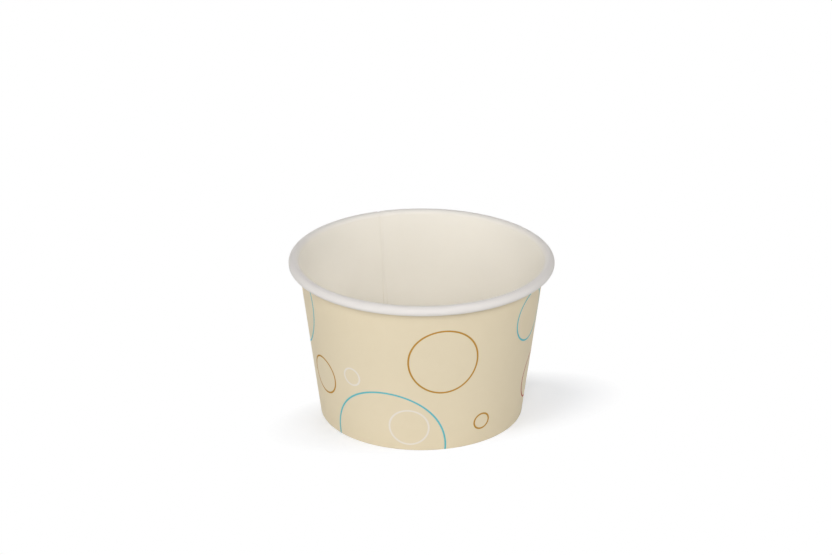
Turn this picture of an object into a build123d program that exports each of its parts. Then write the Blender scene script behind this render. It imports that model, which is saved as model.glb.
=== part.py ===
from build123d import *
from math import asin, atan2, cos, degrees, hypot, sin, tan
import os

# Paper dessert cup: a wide, shallow cup of about 240 ml in coated paperboard.
# Lengths are in millimetres. The origin is the centre of the ring that the cup stands on, +Z is up,
# and -Y is the front. The side wall is one fan-shaped blank wrapped into a cone, with its top rolled
# outward and its bottom folded inward and up. The bottom disc is gripped inside that fold.

# Overall sizes
rim_diameter = 96.0         # over the rolled rim
cup_height = 60.0           # table to the top of the rim
base_diameter = 74.0        # outside of the wall, carried down to the table

# Paperboard
wall_board = 0.35           # thickness of the side wall's board
floor_board = 0.35          # thickness of the bottom disc's board
glue_gap = 0.02             # between the disc's skirt and the board on each side of it

# Rolled rim
roll_width = 3.9            # outside width of the roll, wall to outermost point
roll_gap = 0.3              # free space between the tucked end and the double wall at the seam
tuck_turn = 195.0           # how far the tighter second half of the roll turns, in degrees

# Side seam
seam_angle = 111.0          # cut edge of the inner ply, anticlockwise from +X, in degrees
lap_angle = 10.0            # width of the overlap, which lies beyond the cut edge
ramp_angle = 2.2            # over this the outer ply leaves the cone to pass over the inner one

# Base
floor_height = 6.5          # table to the underside of the floor
floor_bend = 0.6            # inside radius where the floor turns down into its skirt
hem_headroom = 0.7          # from the top of the hem to the start of that bend
fold_radius = 0.08          # inside radius of the wall's fold at the table

# The rim roll turns about two centres: its outer half about the first, its tucked end about the second
half_board = wall_board / 2
roll_radius = roll_width / 2 - half_board
tuck_radius = roll_radius - wall_board - roll_gap / 2
roll_centre_r = rim_diameter / 2 - roll_radius - half_board
roll_centre_z = cup_height - roll_radius - half_board
tuck_centre_r = roll_centre_r + roll_radius - tuck_radius

# The wall's outer face runs from the base, as a line that just touches the rim roll
base_radius = base_diameter / 2
to_roll = hypot(roll_centre_r - base_radius, roll_centre_z)
taper = atan2(roll_centre_r - base_radius, roll_centre_z) - asin((roll_radius - half_board) / to_roll)
taper_deg = degrees(taper)

# The fold at the table, the skirt and the hem lie side by side, parallel to the wall
fold_centre_z = wall_board + fold_radius
fold_middle = fold_radius + half_board
skirt_shift = -(half_board + glue_gap + floor_board / 2)
hem_shift = 2 * skirt_shift
hem_top = floor_height - floor_bend - hem_headroom
skirt_foot = fold_centre_z
bend_middle = floor_bend + floor_board / 2
bend_centre_z = floor_height - floor_bend


def wall_point(z, shift):
    """Point at height z on the wall's middle line, moved outward by shift at right angles to it."""
    return (base_radius + z * tan(taper) + (shift - half_board) / cos(taper), z)


def ply_edge(low, high):
    """One face of the wall's board in section, from the hem's top to the end of the rim roll.

    low is its distance outward from the board's middle in the hem and the fold, and high is that
    distance in the wall and the roll, so a ply that passes over another has a larger high.
    """
    hem_start = wall_point(hem_top, hem_shift - low)
    inner_fold = CenterArc(
        wall_point(fold_centre_z, hem_shift + fold_middle), fold_middle + low, 180 - taper_deg, 90 + taper_deg
    )
    outer_fold = CenterArc(wall_point(fold_centre_z, -fold_middle), fold_middle + low, -90, 90 - taper_deg)
    above_floor = wall_point(floor_height, high)
    roll_reach = roll_radius - high
    roll_start = (roll_centre_r - roll_reach * cos(taper), roll_centre_z + roll_reach * sin(taper))
    roll = CenterArc((roll_centre_r, roll_centre_z), roll_reach, 180 - taper_deg, taper_deg - 180)
    tuck = CenterArc((tuck_centre_r, roll_centre_z), tuck_radius - high, 0, -tuck_turn)
    return [
        Line(hem_start, inner_fold @ 0),
        inner_fold,
        Line(inner_fold @ 1, outer_fold @ 0),
        outer_fold,
        Line(outer_fold @ 1, above_floor),
        Line(above_floor, roll_start),
        roll,
        tuck,
    ]


def section(angle, inner, outer):
    """Face between two edges of the board, standing on the cup's axis at an angle from +X."""
    hem_end = Line(inner[0] @ 0, outer[0] @ 0)
    tuck_end = Line(inner[-1] @ 1, outer[-1] @ 1)
    face = make_face([*inner, tuck_end, *outer, hem_end])
    return Plane.XZ.rotated((0, 0, angle)) * face


def make_side_wall():
    """The wrapped blank: a single ply round the cone, the overlap, and the ramp that leads to it."""
    single = (ply_edge(-half_board, -half_board), ply_edge(half_board, half_board))
    lifted = (ply_edge(-half_board, half_board), ply_edge(half_board, wall_board + half_board))
    double = (single[0], lifted[1])
    lap_end = seam_angle + lap_angle
    ramp_start = seam_angle - ramp_angle
    cone = revolve(section(lap_end, *single), Axis.Z, 360 - lap_angle - ramp_angle)
    lap = revolve(section(seam_angle, *double), Axis.Z, lap_angle)
    ramp = loft([section(ramp_start, *single), section(seam_angle, *lifted)], ruled=True)
    return cone + lap + ramp


def disc_edge(shift):
    """One face of the bottom disc's board in section, shift below or inside the board's middle."""
    floor_z = floor_height + floor_board / 2 - shift
    bend = CenterArc(
        wall_point(bend_centre_z, skirt_shift - bend_middle), bend_middle - shift, 90, -90 - taper_deg
    )
    return [Line((0, floor_z), bend @ 0), bend, Line(bend @ 1, wall_point(skirt_foot, skirt_shift - shift))]


def make_bottom_disc():
    """A round of board with its edge drawn down into a skirt that follows the wall."""
    upper = disc_edge(-floor_board / 2)
    lower = disc_edge(floor_board / 2)
    return revolve(section(0, upper, lower), Axis.Z, 360)


side_wall = make_side_wall()
bottom_disc = make_bottom_disc()

os.makedirs("parts", exist_ok=True)
side_wall.label = "side_wall"
export_step(side_wall, "parts/side_wall.step")
bottom_disc.label = "bottom_disc"
export_step(bottom_disc, "parts/bottom_disc.step")

stand_inner = wall_point(fold_centre_z, hem_shift + fold_middle)[0]
stand_outer = wall_point(fold_centre_z, -fold_middle)[0]
roll_height = roll_radius + tuck_radius + wall_board
print(f"taper {taper_deg:.2f} degrees, rim roll {roll_width:.2f} mm wide and {roll_height:.2f} mm high")
print(f"stands on a flat ring from radius {stand_inner:.3f} to {stand_outer:.3f} mm")
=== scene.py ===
from math import asin, atan2, cos, degrees, radians, sin, tan

import bmesh
import bpy
from mathutils import Matrix, Vector


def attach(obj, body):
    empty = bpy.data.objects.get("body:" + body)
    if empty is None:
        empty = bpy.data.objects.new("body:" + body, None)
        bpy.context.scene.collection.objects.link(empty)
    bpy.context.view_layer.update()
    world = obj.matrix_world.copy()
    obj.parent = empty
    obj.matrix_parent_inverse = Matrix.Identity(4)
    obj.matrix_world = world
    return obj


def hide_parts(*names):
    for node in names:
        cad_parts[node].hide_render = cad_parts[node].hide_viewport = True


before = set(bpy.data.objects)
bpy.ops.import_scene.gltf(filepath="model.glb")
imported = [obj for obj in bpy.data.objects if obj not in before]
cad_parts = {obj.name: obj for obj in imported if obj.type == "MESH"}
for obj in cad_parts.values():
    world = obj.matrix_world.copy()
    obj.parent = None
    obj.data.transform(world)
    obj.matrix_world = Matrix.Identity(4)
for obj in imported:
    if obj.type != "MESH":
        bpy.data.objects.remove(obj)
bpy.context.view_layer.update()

# The camera looks down on the cup from the front, at the height and distance that give the rim and
# the base the ellipses that the photograph shows.
camera = bpy.data.objects.new("camera", bpy.data.cameras.new("camera"))
camera.data.sensor_width = 36.0
camera.data.lens = 112.67
camera.location = (-0.002, -0.8683, 0.4184)
camera.rotation_euler = (radians(67.085), 0, 0)
bpy.context.collection.objects.link(camera)
bpy.context.scene.camera = camera

# The side wall: one fan-shaped blank of paperboard, coated white inside and printed beige with thin
# rings outside. It is wound into a cone and sealed where its straight edges overlap, its top is
# rolled outward into the rim, and its foot is folded inward and up round the bottom disc.
rim_radius = 0.048
cup_height = 0.06
base_radius = 0.037
board = 0.00035
roll_width = 0.0039
roll_gap = 0.0003
tuck_turn = 195.0
floor_height = 0.0065
floor_board = 0.00035
floor_bend = 0.0006
hem_headroom = 0.0007
fold_radius = 0.00008
glue_gap = 0.00002
hair = 0.000001
round_steps = 256

roll_radius = roll_width / 2 - board / 2
tuck_radius = roll_radius - board - roll_gap / 2
roll_centre = Vector((rim_radius - roll_radius - board / 2, 0, cup_height - roll_radius - board / 2))
tuck_centre = roll_centre + Vector((roll_radius - tuck_radius, 0, 0))
to_roll = roll_centre - Vector((base_radius, 0, 0))
taper = atan2(to_roll.x, to_roll.z) - asin((roll_radius - board / 2) / to_roll.length)
tilt = degrees(taper)


def wall_point(z, shift):
    """Point at height z on the middle of the wall's board, moved outward by shift."""
    return Vector((base_radius + z * tan(taper) + (shift - board / 2) / cos(taper), 0, z))


def straight(mesh, start, end, pieces):
    """Carries a chain of points on in a straight run, and returns its new points."""
    chain = [start]
    step = (end - start.co) / pieces
    for _ in range(pieces):
        chain += bmesh.ops.extrude_vert_indiv(mesh, verts=chain[-1:])["verts"]
        bmesh.ops.translate(mesh, verts=chain[-1:], vec=step)
    return chain[1:]


def bend(mesh, start, centre, turn, steps):
    """Carries a chain of points on round a centre in the upright plane, clockwise from the front."""
    known = len(mesh.verts)
    bmesh.ops.spin(mesh, geom=[start], cent=centre, axis=(0, 1, 0), angle=radians(turn), steps=steps)
    mesh.verts.ensure_lookup_table()
    return mesh.verts[known:]


def wind(mesh, geometry, turn, steps, closed=False):
    """Sweeps geometry round the cup's axis, and returns where it ends."""
    return bmesh.ops.spin(
        mesh, geom=geometry, cent=(0, 0, 0), axis=(0, 0, 1),
        angle=radians(turn), steps=steps, use_merge=closed,
    )["geom_last"]


wall_mesh = bmesh.new()
unrolled = wall_mesh.verts.layers.float_vector.new("unrolled")
facing = wall_mesh.verts.layers.float_vector.new("facing")
blank = wall_mesh.verts.layers.float_vector.new("blank")
pressing = wall_mesh.verts.layers.deform.new("pressing")

fold_middle = fold_radius + board / 2
hem_shift = -(board + floor_board + 2 * glue_gap)
inner_fold = wall_point(board + fold_radius, hem_shift + fold_middle)
outer_fold = wall_point(board + fold_radius, -fold_middle)
inward = Vector((-cos(taper), 0, sin(taper)))

section = bmesh.ops.create_vert(
    wall_mesh, co=wall_point(floor_height - floor_bend - hem_headroom, hem_shift)
)["vert"]
section += straight(wall_mesh, section[-1], inner_fold + fold_middle * inward, pieces=4)
section += bend(wall_mesh, section[-1], inner_fold, -90 - tilt, steps=5)
section += straight(wall_mesh, section[-1], outer_fold - Vector((0, 0, fold_middle)), pieces=1)
section += bend(wall_mesh, section[-1], outer_fold, tilt - 90, steps=5)
fold_end = len(section) - 1
section += straight(wall_mesh, section[-1], roll_centre + roll_radius * inward, pieces=16)
wall_end = len(section) - 1
section += bend(wall_mesh, section[-1], roll_centre, 180 - tilt, steps=20)
section += bend(wall_mesh, section[-1], tuck_centre, tuck_turn, steps=18)

# Each point notes its distance along the board, from the table up, and which way the print faces
along = section[fold_end].co.z / cos(taper)
for before, after in zip(section[:fold_end], section[1:]):
    along -= (after.co - before.co).length
for place, point in enumerate(section):
    before = section[max(place - 1, 0)].co
    run = section[min(place + 1, len(section) - 1)].co - before
    along += (point.co - before).length
    point[unrolled] = (0, along, 0)
    point[facing] = Vector((run.z, 0, -run.x)).normalized()
roll_start = section[wall_end][unrolled].y

# The blank is wound on from the cut edge of its inner ply. The last stretch rises by one board over a
# short ramp and laps over the start, and both plies are pressed to half their thickness in the fold.
seam_turn = -159.0
ramp_turn = 2.2
lap_turn = 10.0
ease_turn = 1.0
slight_turn = 0.1
fold_press = 0.5
once_round = 360.0 - ramp_turn
blank_radius = base_radius / sin(taper)

bmesh.ops.rotate(
    wall_mesh, verts=wall_mesh.verts[:], cent=(0, 0, 0),
    matrix=Matrix.Rotation(radians(seam_turn - 90), 3, "Z"),
)
wound = wind(wall_mesh, wall_mesh.verts[:] + wall_mesh.edges[:], once_round, round_steps)
first_winding = set(wall_mesh.verts)
wound = wind(wall_mesh, wound, ramp_turn, steps=4)
wind(wall_mesh, wound, lap_turn, steps=8)


def share(value):
    """A value kept between 0 and 1."""
    return min(max(value, 0), 1)


for point in wall_mesh.verts:
    turn = degrees(atan2(point.co.x, -point.co.y))
    if point not in first_winding or turn < seam_turn - slight_turn:
        turn += 360.0
    along = point[unrolled].y
    climbed = share((turn - seam_turn - once_round) / ramp_turn)
    climbed *= climbed * (3 - 2 * climbed)
    covered = share((seam_turn + lap_turn - turn) / ease_turn + 1)
    pressed = share(1 - along / floor_height)
    shift = board * (climbed * (1 - (1 - fold_press / 2) * pressed) - covered * fold_press / 2 * pressed)
    outward = Vector((sin(radians(turn)), -cos(radians(turn)), 0))
    point.co += shift * (point[facing].x * outward + Vector((0, 0, point[facing].z)))
    point[pressing][0] = 1 - (1 - fold_press) * pressed * max(climbed, covered)
    point[unrolled] = (turn, along, 0)
    fan = radians(turn) * sin(taper)
    point[blank] = (blank_radius + along) * Vector((sin(fan), cos(fan), 0))
wall_mesh.verts.layers.float_vector.remove(facing)
bmesh.ops.reverse_faces(wall_mesh, faces=wall_mesh.faces[:])

side_wall = bpy.data.objects.new("side_wall_board", bpy.data.meshes.new("side_wall_board"))
wall_mesh.to_mesh(side_wall.data)
wall_mesh.free()
bpy.context.collection.objects.link(side_wall)

# A board's materials by number. Thickening gives its faces the first three, and the wall's roll gets
# the last one.
one_side, other_side, cut_side, roll_side = range(4)


def give_thickness(piece, thickness, group=""):
    """Thickens a sheet both ways from its middle, and returns how many points the sheet had."""
    sheet_points = len(piece.data.vertices)
    solidify = piece.modifiers.new("board", "SOLIDIFY")
    solidify.thickness = thickness
    solidify.offset = 0
    solidify.use_even_offset = True
    solidify.vertex_group = group
    solidify.material_offset = other_side
    solidify.material_offset_rim = cut_side
    graph = bpy.context.evaluated_depsgraph_get()
    thick = bpy.data.meshes.new_from_object(piece.evaluated_get(graph), depsgraph=graph)
    piece.modifiers.clear()
    piece.data = thick
    thick.shade_smooth()
    mesh = bmesh.new()
    mesh.from_mesh(thick)
    for edge in mesh.edges:
        edge.smooth = len({face.material_index for face in edge.link_faces}) == 1
    mesh.to_mesh(thick)
    mesh.free()
    return sheet_points


def add(tree, kind, sockets=None, **settings):
    """Adds a shader node. A socket is linked if it is given another node's, or else set."""
    new = tree.nodes.new("ShaderNode" + kind)
    for name, value in settings.items():
        setattr(new, name, value)
    for name, value in (sockets or {}).items():
        if isinstance(value, bpy.types.NodeSocket):
            tree.links.new(value, new.inputs[name])
        else:
            new.inputs[name].default_value = value
    return new


def maths(tree, operation, *values):
    """The outcome of one sum on one or two values."""
    return add(tree, "Math", dict(enumerate(values)), operation=operation).outputs[0]


def ramp(tree, value, start, end):
    """A share that rises from 0 to 1 while a value goes from start to end."""
    return add(tree, "MapRange", {"Value": value, "From Min": start, "From Max": end}).outputs[0]


def mix(tree, amount, colour, other):
    """A colour that gives way to another as an amount goes from 0 to 1."""
    return add(tree, "Mix", {0: amount, 6: colour, 7: other}, data_type="RGBA").outputs[2]


def noted(tree, name):
    """What the piece's points have noted under a name."""
    return add(tree, "Attribute", attribute_name=name).outputs["Vector"]


def tone(red, green, blue):
    """A colour from its three screen values of 0 to 255."""
    shares = [value / 255 for value in (red, green, blue)]
    return tuple(v / 12.92 if v < 0.04045 else ((v + 0.055) / 1.055) ** 2.4 for v in shares) + (1,)


def new_board(name, colour, roughness, gloss):
    """A material of one colour with its tree, its object coordinates and its shader."""
    material = bpy.data.materials.new(name)
    material.use_nodes = True
    tree = material.node_tree
    place = add(tree, "TexCoord").outputs["Object"]
    shader = tree.nodes["Principled BSDF"]
    shader.inputs["Base Color"].default_value = colour
    shader.inputs["Roughness"].default_value = roughness
    shader.inputs["Specular IOR Level"].default_value = gloss
    return material, tree, place, shader


def mottle(tree, place, scale, colour, other):
    """Varies a colour a little in soft patches; scale is patches per metre."""
    patches = add(tree, "TexNoise", {"Vector": place, "Scale": scale, "Detail": 3, "Roughness": 0.6})
    return mix(tree, patches.outputs["Fac"], colour, other)


def roughen(tree, shader, place, layers):
    """Bump from noise: each layer gives patches per metre and height in metres."""
    normal = None
    for scale, height in layers:
        noise = add(tree, "TexNoise", {"Vector": place, "Scale": scale, "Detail": 4})
        bump = add(tree, "Bump", {"Height": noise.outputs["Fac"], "Distance": height, "Strength": 1})
        if normal:
            tree.links.new(normal, bump.inputs["Normal"])
        normal = bump.outputs["Normal"]
    tree.links.new(normal, shader.inputs["Normal"])
    return normal


# The printed side: a flood of beige ink under a thin varnish, with rings drawn in four inks. Each
# ring is a true circle on the flat blank, given by its turn round the cup from the front, the height
# of its centre up the wall from the table and its radius, in degrees and millimetres.
beige = tone(229, 216, 188.5)
beige_deep = tone(226.5, 213, 184.5)
hem_white = tone(236, 231, 220)
ring_line = 0.00066
ring_blur = 0.00004
print_edge = -0.0034
print_blur = 0.00005
ring_inks = {
    "teal": (tone(101, 185, 194), [
        (-19.2, 2.12, 21.01), (-92.3, 49.6, 21.65), (65.9, 45.0, 9.79),
        (148.0, 3.0, 18.5), (204.0, 47.0, 8.0), (-156.0, 47.0, 8.0),
    ]),
    "ochre": (tone(186, 140, 58), [
        (10.8, 36.76, 12.61), (34.0, 9.3, 3.06), (-61.0, 22.02, 7.03),
        (119.0, 40.0, 8.2), (179.0, 33.0, 10.6), (-135.0, 16.0, 6.2),
    ]),
    "white": (tone(233, 225, 214), [
        (-6.8, 9.68, 7.06), (-37.8, 26.88, 3.35),
        (106.0, 12.0, 5.5), (157.0, 11.0, 6.3), (-141.0, 39.0, 3.6),
    ]),
    "brick": (tone(176, 92, 78), [
        (81.7, 16.78, 9.21), (198.0, 11.0, 4.4), (-116.0, 12.0, 3.0),
    ]),
}

ring = bpy.data.node_groups.new("printed ring", "ShaderNodeTree")
for name, kind in (("Blank", "Vector"), ("Centre", "Vector"), ("Radius", "Float"), ("Others", "Float")):
    ring.interface.new_socket(name, in_out="INPUT", socket_type="NodeSocket" + kind)
ring.interface.new_socket("Ink", in_out="OUTPUT", socket_type="NodeSocketFloat")
given = ring.nodes.new("NodeGroupInput").outputs
reach = add(ring, "VectorMath", {0: given["Blank"], 1: given["Centre"]}, operation="DISTANCE")
off_line = maths(ring, "ABSOLUTE", maths(ring, "SUBTRACT", reach.outputs["Value"], given["Radius"]))
line_ink = ramp(ring, off_line, ring_line / 2 + ring_blur, ring_line / 2 - ring_blur)
inked = maths(ring, "MAXIMUM", line_ink, given["Others"])
ring.links.new(inked, ring.nodes.new("NodeGroupOutput").inputs["Ink"])

printed_board, tree, place, shader = new_board("printed board", beige, roughness=0.55, gloss=0.06)
flat_place = noted(tree, "blank")
colour = mottle(tree, place, 260, beige, beige_deep)
for ink, circles in ring_inks.values():
    inked = 0.0
    for turn, height, radius in circles:
        fan = radians(turn) * sin(taper)
        reach = blank_radius + height / 1000
        inked = add(tree, "Group", {
            "Blank": flat_place, "Centre": (reach * sin(fan), reach * cos(fan), 0),
            "Radius": radius / 1000, "Others": inked,
        }, node_tree=ring).outputs["Ink"]
    colour = mix(tree, inked, colour, ink)
board_place = add(tree, "SeparateXYZ", {0: noted(tree, "unrolled")}).outputs
unprinted = ramp(tree, board_place["Y"], print_edge + print_blur, print_edge - print_blur)
tree.links.new(mix(tree, unprinted, colour, hem_white), shader.inputs["Base Color"])

# The board's fine surface, and the knurling that the folding tool presses into the hem
knurls_round = 150
knurl_height = 0.00006
knurls_begin = -0.0006
knurls_full = -0.0014
surface = roughen(tree, shader, place, [(35, 0.00012), (900, 0.000006), (4500, 0.000004)])
wave = maths(tree, "SINE", maths(tree, "MULTIPLY", board_place["X"], radians(knurls_round)))
on_hem = ramp(tree, board_place["Y"], knurls_begin, knurls_full)
knurling = add(tree, "Bump", {
    "Height": maths(tree, "MULTIPLY", wave, on_hem), "Distance": knurl_height, "Normal": surface,
})
tree.links.new(knurling.outputs["Normal"], shader.inputs["Normal"])

# The white side: its coating is warm and smooth inside. Over the roll it is duller, and painted a
# greyer, cooler white as shade. Low inside, the seam shows as two faint painted shadow lines, fading
# out higher up, each with its turn, its half width in degrees and its strength: at the inner ply's cut
# edge, and at the ramp's first crease.
inside_white = tone(244, 239.2, 229.4)
inside_shade = tone(243, 237.7, 226.9)
# Painted shade: the roll's white is greyer and cooler than the inside's.
roll_shaded_white = tone(230.5, 226, 222)
# Painted shadow at the seam: its colour, its two lines, and the heights over which they fade out.
seam_shadow_colour = tone(205, 190, 160)
seam_shadow_lines = ((seam_turn + 360, 0.6, 0.9), (seam_turn + once_round, 0.35, 0.2))
seam_full_below = 0.022
seam_gone_above = 0.036
crown_end = roll_start + 0.0027


def coated(name, roughness, gloss):
    """The white side's coating: its colour, with painted shade, follows the board from the inside on
    over the roll.
    """
    material, tree, place, shader = new_board(name, inside_white, roughness, gloss)
    board_place = add(tree, "SeparateXYZ", {0: noted(tree, "unrolled")}).outputs
    colour = mottle(tree, place, 200, inside_white, inside_shade)
    low = ramp(tree, board_place["Y"], seam_gone_above, seam_full_below)
    # Each seam line is a painted shadow, strongest low down.
    for turn, half_width, strength in seam_shadow_lines:
        off_line = maths(tree, "ABSOLUTE", maths(tree, "SUBTRACT", board_place["X"], turn))
        line = maths(tree, "MULTIPLY", ramp(tree, off_line, half_width, 0), strength)
        colour = mix(tree, maths(tree, "MULTIPLY", line, low), colour, seam_shadow_colour)
    # From the roll's start to its crown the white turns to the roll's painted shade.
    rolled = ramp(tree, board_place["Y"], roll_start, crown_end)
    tree.links.new(mix(tree, rolled, colour, roll_shaded_white), shader.inputs["Base Color"])
    roughen(tree, shader, place, [(30, 0.00012), (1100, 0.000008), (4000, 0.000004)])
    return material


white_coating = coated("coated white board", roughness=0.35, gloss=0.5)
roll_coating = coated("coated white board, rolled", roughness=0.65, gloss=0.05)

cut_board, tree, place, shader = new_board(
    "cut edge of the board", tone(232, 226, 212), roughness=0.9, gloss=0.1
)
colour = mottle(tree, place, 2500, tone(238, 232, 220), tone(222, 214, 198))
tree.links.new(colour, shader.inputs["Base Color"])
roughen(tree, shader, place, [(6000, 0.00003)])

# The blank gets its thickness, and its coating turns duller from where the roll starts
for material in (printed_board, white_coating, cut_board, roll_coating):
    side_wall.data.materials.append(material)
side_wall.vertex_groups.new(name="pressing")
sheet_points = give_thickness(side_wall, board, "pressing")
on_board = side_wall.data.attributes["unrolled"].data
for face in side_wall.data.polygons:
    lowest = min(on_board[v].vector.y for v in face.vertices)
    if face.material_index == other_side and lowest > roll_start - hair:
        face.material_index = roll_side

# Where each part of the blank goes in the wall's baked picture, from its left and low corner to its
# right and high one. The sides that show are large.
flat_boxes = {
    "print wall 1": (0.01, 0.67, 0.81, 0.99), "print wall 2": (0.01, 0.34, 0.81, 0.66),
    "print hem 1": (0.01, 0.305, 0.81, 0.33), "print hem 2": (0.01, 0.27, 0.81, 0.295),
    "print roll 1": (0.01, 0.255, 0.81, 0.265), "print roll 2": (0.01, 0.24, 0.81, 0.25),
    "white hem 1": (0.01, 0.225, 0.81, 0.235), "white hem 2": (0.01, 0.21, 0.81, 0.22),
    "white wall 1": (0.83, 0.16, 0.905, 0.98), "white wall 2": (0.915, 0.16, 0.99, 0.98),
    "white roll 1": (0.01, 0.08, 0.99, 0.135), "white roll 2": (0.01, 0.015, 0.99, 0.07),
    "cut hem": (0.01, 0.19, 0.81, 0.197), "cut roll": (0.01, 0.175, 0.81, 0.182),
    "cut start": (0.01, 0.16, 0.81, 0.167), "cut end": (0.01, 0.145, 0.81, 0.152),
}
flat_parts = {name: [] for name in flat_boxes}
half_turn = seam_turn + (360 + lap_turn) / 2
for face in side_wall.data.polygons:
    turns = [on_board[v].vector.x for v in face.vertices]
    along = sum(on_board[v].vector.y for v in face.vertices) / len(face.vertices)
    side = ("print", "white", "cut", "white")[face.material_index]
    run = "hem" if along < 0 else "roll" if along > roll_start else "wall"
    if side == "cut":
        part = "start" if turns[0] < half_turn else "end"
        flat_parts[f"cut {run if max(turns) - min(turns) > slight_turn else part}"].append(face)
    else:
        flat_parts[f"{side} {run} {1 if sum(turns) / len(turns) < half_turn else 2}"].append(face)

layout = side_wall.data.uv_layers.new(name="OFBake").data
for name, faces in flat_parts.items():
    places = {}
    for loop in (loop for face in faces for loop in face.loop_indices):
        point = side_wall.data.loops[loop].vertex_index
        turn, along, _ = on_board[point].vector
        if name.startswith("cut"):
            lengthwise = turn if name in ("cut hem", "cut roll") else along
            places[loop] = (lengthwise, float(point >= sheet_points))
        else:
            places[loop] = (along, turn) if name.startswith("white wall") else (turn, along)
    left, low, right, high = flat_boxes[name]
    first = [min(place[axis] for place in places.values()) for axis in (0, 1)]
    last = [max(place[axis] for place in places.values()) for axis in (0, 1)]
    for loop, (across, up) in places.items():
        layout[loop].uv = (
            left + (right - left) * (across - first[0]) / (last[0] - first[0]),
            low + (high - low) * (up - first[1]) / (last[1] - first[1]),
        )

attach(side_wall, "root")
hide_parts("side_wall")

# The bottom disc: a round of white board, coated on top, with its edge drawn down into a skirt that
# is gripped between the wall and the hem. It is the floor of the cup, a little above the table.
disc_mesh = bmesh.new()
skirt_shift = hem_shift / 2
bend_middle = floor_bend + floor_board / 2
bend_centre = wall_point(floor_height - floor_bend, skirt_shift - bend_middle)
disc = bmesh.ops.create_vert(disc_mesh, co=(0, 0, floor_height + floor_board / 2))["vert"]
disc += straight(disc_mesh, disc[-1], bend_centre + Vector((0, 0, bend_middle)), pieces=9)
disc += bend(disc_mesh, disc[-1], bend_centre, 90 + tilt, steps=6)
disc += straight(disc_mesh, disc[-1], wall_point(board + fold_radius, skirt_shift), pieces=4)
wind(disc_mesh, disc_mesh.verts[:] + disc_mesh.edges[:], 360, round_steps, closed=True)
bmesh.ops.remove_doubles(disc_mesh, verts=disc_mesh.verts[:], dist=hair)
bottom_disc = bpy.data.objects.new("bottom_disc_board", bpy.data.meshes.new("bottom_disc_board"))
disc_mesh.to_mesh(bottom_disc.data)
disc_mesh.free()
bpy.context.collection.objects.link(bottom_disc)

bare_board, tree, place, shader = new_board(
    "uncoated white board", tone(232, 227, 216), roughness=0.75, gloss=0.2
)
colour = mottle(tree, place, 700, tone(234, 229, 218), tone(228, 222, 210))
tree.links.new(colour, shader.inputs["Base Color"])
roughen(tree, shader, place, [(30, 0.00012), (1500, 0.00001), (5000, 0.000006)])
for material in (white_coating, bare_board, cut_board):
    bottom_disc.data.materials.append(material)
give_thickness(bottom_disc, floor_board)

# Its baked picture shows the top and the underside as two rounds, with the cut edge round the first.
# Each has its middle in the picture and its face's height, from which the skirt is laid out flat.
top_round = ((0.26, 0.74), floor_height + floor_board)
underside_round = ((0.74, 0.26), floor_height)
disc_scale = 5.3
cut_edge_width = 0.002
layout = bottom_disc.data.uv_layers.new(name="OFBake").data
points = bottom_disc.data.vertices
tops = [face for face in bottom_disc.data.polygons if face.material_index == one_side]
top_points = {v for face in tops for v in face.vertices}
for face in bottom_disc.data.polygons:
    middle, face_height = underside_round if face.material_index == other_side else top_round
    for loop in face.loop_indices:
        point = bottom_disc.data.loops[loop].vertex_index
        outward = points[point].co.to_2d()
        reach = outward.length + face_height - points[point].co.z
        if face.material_index == cut_side and point not in top_points:
            reach += cut_edge_width
        layout[loop].uv = Vector(middle) + disc_scale * reach * outward.normalized()

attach(bottom_disc, "root")
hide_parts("bottom_disc")

# The floor is a white sheet. The camera sees it lifted to white where nothing shades it, and wholly
# white beyond an oval round the cup, so the cup's shadow shows only near its foot.
floor_size = 4.0
sheet_white = (0.8, 0.8, 0.8, 1)
floor_lift = (0.283, 0.298, 0.326, 1)
oval_middle = (0.0095, -0.0045, 0)
oval_reach = (0.0473, 0.0211, 1)
oval_turn = 17.6
oval_fade = 1.45

floor_mesh = bmesh.new()
bmesh.ops.create_grid(floor_mesh, x_segments=1, y_segments=1, size=floor_size)
studio_floor = bpy.data.objects.new("studio_floor", bpy.data.meshes.new("studio_floor"))
floor_mesh.to_mesh(studio_floor.data)
floor_mesh.free()
bpy.context.collection.objects.link(studio_floor)


def seen(tree):
    """1 for the camera's own rays and those that gloss or glass passes on, 0 for light."""
    path = add(tree, "LightPath").outputs
    mirrored = maths(tree, "MAXIMUM", path["Is Glossy Ray"], path["Is Transmission Ray"])
    return maths(tree, "MAXIMUM", path["Is Camera Ray"], mirrored)


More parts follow.
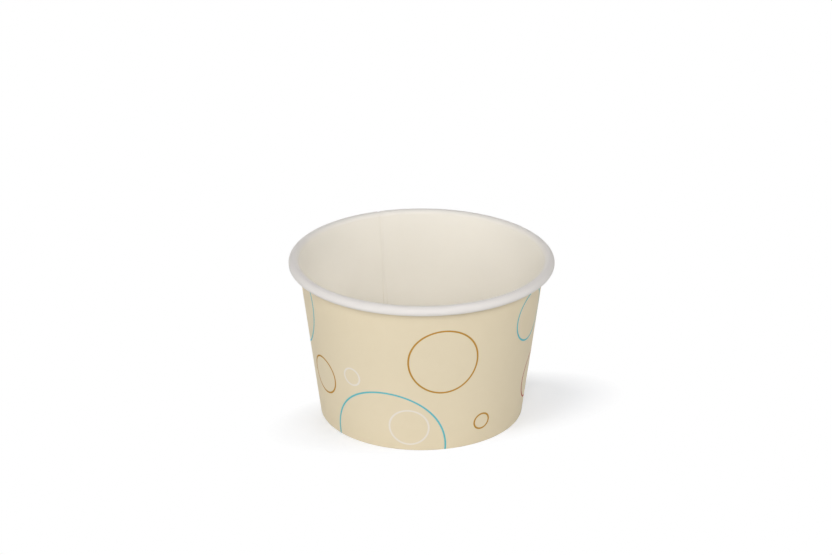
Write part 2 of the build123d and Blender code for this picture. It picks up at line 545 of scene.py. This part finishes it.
floor_white = bpy.data.materials.new("white floor")
floor_white.use_nodes = True
tree = floor_white.node_tree
tree.nodes.remove(tree.nodes["Principled BSDF"])
by_eye = seen(tree)
matte = add(tree, "BsdfDiffuse", {"Color": sheet_white})
lift = add(tree, "Emission", {"Color": floor_lift, "Strength": by_eye})
near = add(tree, "AddShader", {0: matte.outputs[0], 1: lift.outputs[0]})
round_cup = add(tree, "Mapping", {
    "Vector": add(tree, "TexCoord").outputs["Object"], "Location": oval_middle,
    "Rotation": (0, 0, radians(oval_turn)), "Scale": oval_reach,
}, vector_type="TEXTURE")
ovals_out = add(tree, "VectorMath", {0: round_cup.outputs[0]}, operation="LENGTH").outputs["Value"]
away = maths(tree, "MULTIPLY", ramp(tree, ovals_out, 1, oval_fade), by_eye)
pure = add(tree, "Emission", {"Strength": 1})
mixed = add(tree, "MixShader", {0: away, 1: near.outputs[0], 2: pure.outputs[0]})
tree.links.new(mixed.outputs[0], tree.nodes["Material Output"].inputs["Surface"])
studio_floor.data.materials.append(floor_white)

# The light: large soft lamps round the cup, each with its place, width and power, and a room that is
# white to the camera and soft grey to the cup.
lit_middle = Vector((0, 0, 0.03))
room_light = 0.04
lamps = {
    "overhead": ((0.0, 0.0, 1.9), 1.2, 4.5),
    "front": ((0.0, -1.8, 1.1), 0.8, 15.3),
    "front_low": ((0.0, -2.2, 0.3), 0.8, 1.5),
    "front_left": ((-1.2, -1.3, 1.2), 1.0, 7.6),
    "front_right": ((1.2, -1.3, 1.2), 1.0, 6.2),
    "front_left_low": ((-1.2, -1.8, 0.4), 0.8, 7.0),
    "left": ((-1.8, 0.0, 0.9), 1.0, 5.0),
    "right": ((1.8, 0.0, 0.9), 1.0, 8.4),
    "back_low": ((0.0, 2.2, 0.3), 0.8, 13.0),
    "back_left_low": ((-1.2, 1.8, 0.4), 0.8, 4.8),
    "back_right_low": ((1.2, 1.8, 0.4), 0.8, 1.2),
}
for name, (spot, width, power) in lamps.items():
    lamp = bpy.data.objects.new(name, bpy.data.lights.new(name, "AREA"))
    lamp.data.shape = "DISK"
    lamp.data.size = width
    lamp.data.energy = power
    lamp.location = spot
    lamp.rotation_euler = (Vector(spot) - lit_middle).to_track_quat("Z", "Y").to_euler()
    bpy.context.collection.objects.link(lamp)

room = bpy.data.worlds.new("room")
bpy.context.scene.world = room
room.use_nodes = True
tree = room.node_tree
strength = add(tree, "MapRange", {"Value": seen(tree), "To Min": room_light, "To Max": 1.0})
tree.nodes["Background"].inputs["Color"].default_value = (1, 1, 1, 1)
tree.links.new(strength.outputs[0], tree.nodes["Background"].inputs["Strength"])

bpy.context.scene.view_settings.view_transform = "Standard"
